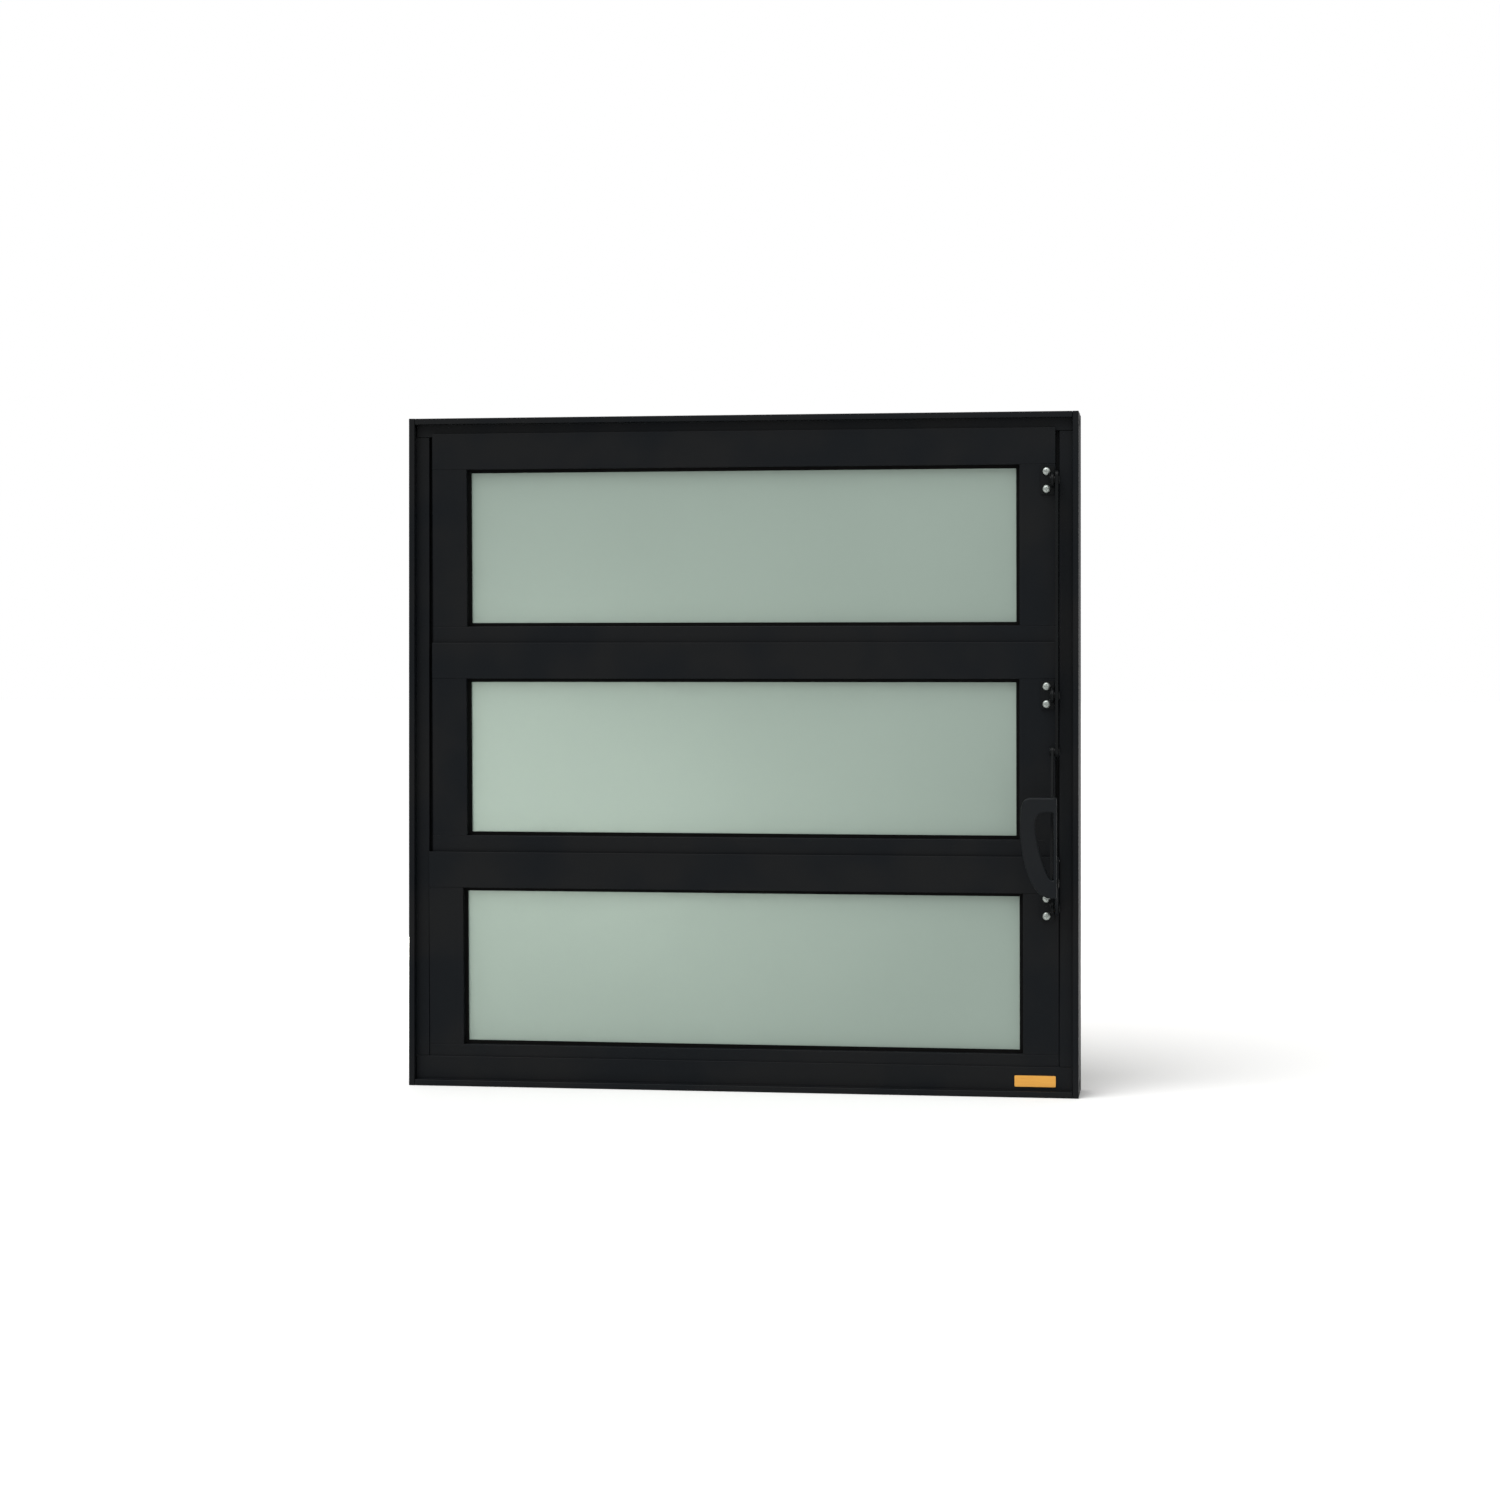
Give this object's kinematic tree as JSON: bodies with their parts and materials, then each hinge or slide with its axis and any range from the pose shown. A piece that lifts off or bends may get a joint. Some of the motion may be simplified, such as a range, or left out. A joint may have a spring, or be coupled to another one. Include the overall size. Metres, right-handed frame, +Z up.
{
  "type": "tilting window with lever",
  "caption": "Small square window frame with tilting glazed lights above a fixed one, worked together by a side lever with a D-shaped grip, a link and a pull rod.",
  "frame": {"origin": "middle of the sill's flat underside, half way through the frame's depth", "axes": "+X to the right as seen from inside the room, +Y outdoors through the window, +Z up"},
  "size_m": [0.6, 0.1011, 0.6],
  "materials": {
    "coated_aluminium": "satin black powder coat on extrusion",
    "patterned_glass": "satin-etched green-grey float glass",
    "glazing_rubber": "extruded black EPDM",
    "linkage_steel": "black-coated pressed steel",
    "cast_lever": "black-coated die casting",
    "zinc_screws": "bright zinc plate",
    "steel_pins": "turned, bright",
    "nylon": "moulded nylon",
    "gold_plate": "anodised gold, blank"
  },
  "bodies": {
    "frame": {"fixed_bottom_rail": "coated_aluminium", "fixed_bracket": "linkage_steel", "fixed_bracket_screw_1": "zinc_screws", "fixed_bracket_screw_2": "zinc_screws", "fixed_gasket": "glazing_rubber", "fixed_glass": "patterned_glass", "fixed_stile_left": "coated_aluminium", "fixed_stile_right": "coated_aluminium", "fixed_top_rail": "coated_aluminium", "head": "coated_aluminium", "head_screw_1_left": "zinc_screws", "head_screw_1_right": "zinc_screws", "head_screw_2_left": "zinc_screws", "head_screw_2_right": "zinc_screws", "jamb_left": "coated_aluminium", "jamb_right": "coated_aluminium", "lever_fulcrum_pin": "linkage_steel", "lower_pivot_bush_left": "nylon", "lower_pivot_bush_right": "nylon", "makers_plate": "gold_plate", "sill": "coated_aluminium", "sill_screw_1_left": "zinc_screws", "sill_screw_1_right": "zinc_screws", "sill_screw_2_left": "zinc_screws", "sill_screw_2_right": "zinc_screws", "upper_pivot_bush_left": "nylon", "upper_pivot_bush_right": "nylon"},
    "upper_light": {"upper_bottom_rail": "coated_aluminium", "upper_bracket": "linkage_steel", "upper_bracket_screw_1": "zinc_screws", "upper_bracket_screw_2": "zinc_screws", "upper_gasket": "glazing_rubber", "upper_glass": "patterned_glass", "upper_pivot_pin_left": "steel_pins", "upper_pivot_pin_right": "steel_pins", "upper_rod_pin": "linkage_steel", "upper_stile_left": "coated_aluminium", "upper_stile_right": "coated_aluminium", "upper_top_rail": "coated_aluminium"},
    "lower_light": {"lower_bottom_rail": "coated_aluminium", "lower_bracket": "linkage_steel", "lower_bracket_screw_1": "zinc_screws", "lower_bracket_screw_2": "zinc_screws", "lower_gasket": "glazing_rubber", "lower_glass": "patterned_glass", "lower_pivot_pin_left": "steel_pins", "lower_pivot_pin_right": "steel_pins", "lower_rod_pin": "linkage_steel", "lower_stile_left": "coated_aluminium", "lower_stile_right": "coated_aluminium", "lower_top_rail": "coated_aluminium"},
    "rod": {"pull_rod": "linkage_steel", "lower_link": "linkage_steel", "link_splice_rivet": "linkage_steel"},
    "lever": {"lever_handle": "cast_lever", "lever_link_pin": "linkage_steel"}
  },
  "joints": [
    {"name": "upper_light_tilt", "type": "hinge", "parent": "frame", "child": "upper_light", "pos_m": [0, -0.00879, 0.5163], "axis": [1, 0, 0], "range_deg": [0, 65]},
    {"name": "lower_light_tilt", "type": "hinge", "parent": "frame", "child": "lower_light", "pos_m": [0, -0.00879, 0.32822], "axis": [1, 0, 0], "range_deg": [0, 65]},
    {"name": "lever_swing", "type": "hinge", "parent": "frame", "child": "lever", "pos_m": [0.2813, -0.0339, 0.16617], "axis": [1, 0, 0], "range_deg": [0, 65]},
    {"name": "rod_hinge", "type": "hinge", "parent": "upper_light", "child": "rod", "pos_m": [0.281, -0.03384, 0.53973], "axis": [1, 0, 0], "range_deg": [-65, 0]}
  ],
  "couplings": [
    {"joint": "lower_light_tilt", "follows": "upper_light_tilt", "ratio": 1},
    {"joint": "lever_swing", "follows": "upper_light_tilt", "ratio": 1},
    {"joint": "rod_hinge", "follows": "upper_light_tilt", "ratio": -1}
  ]
}
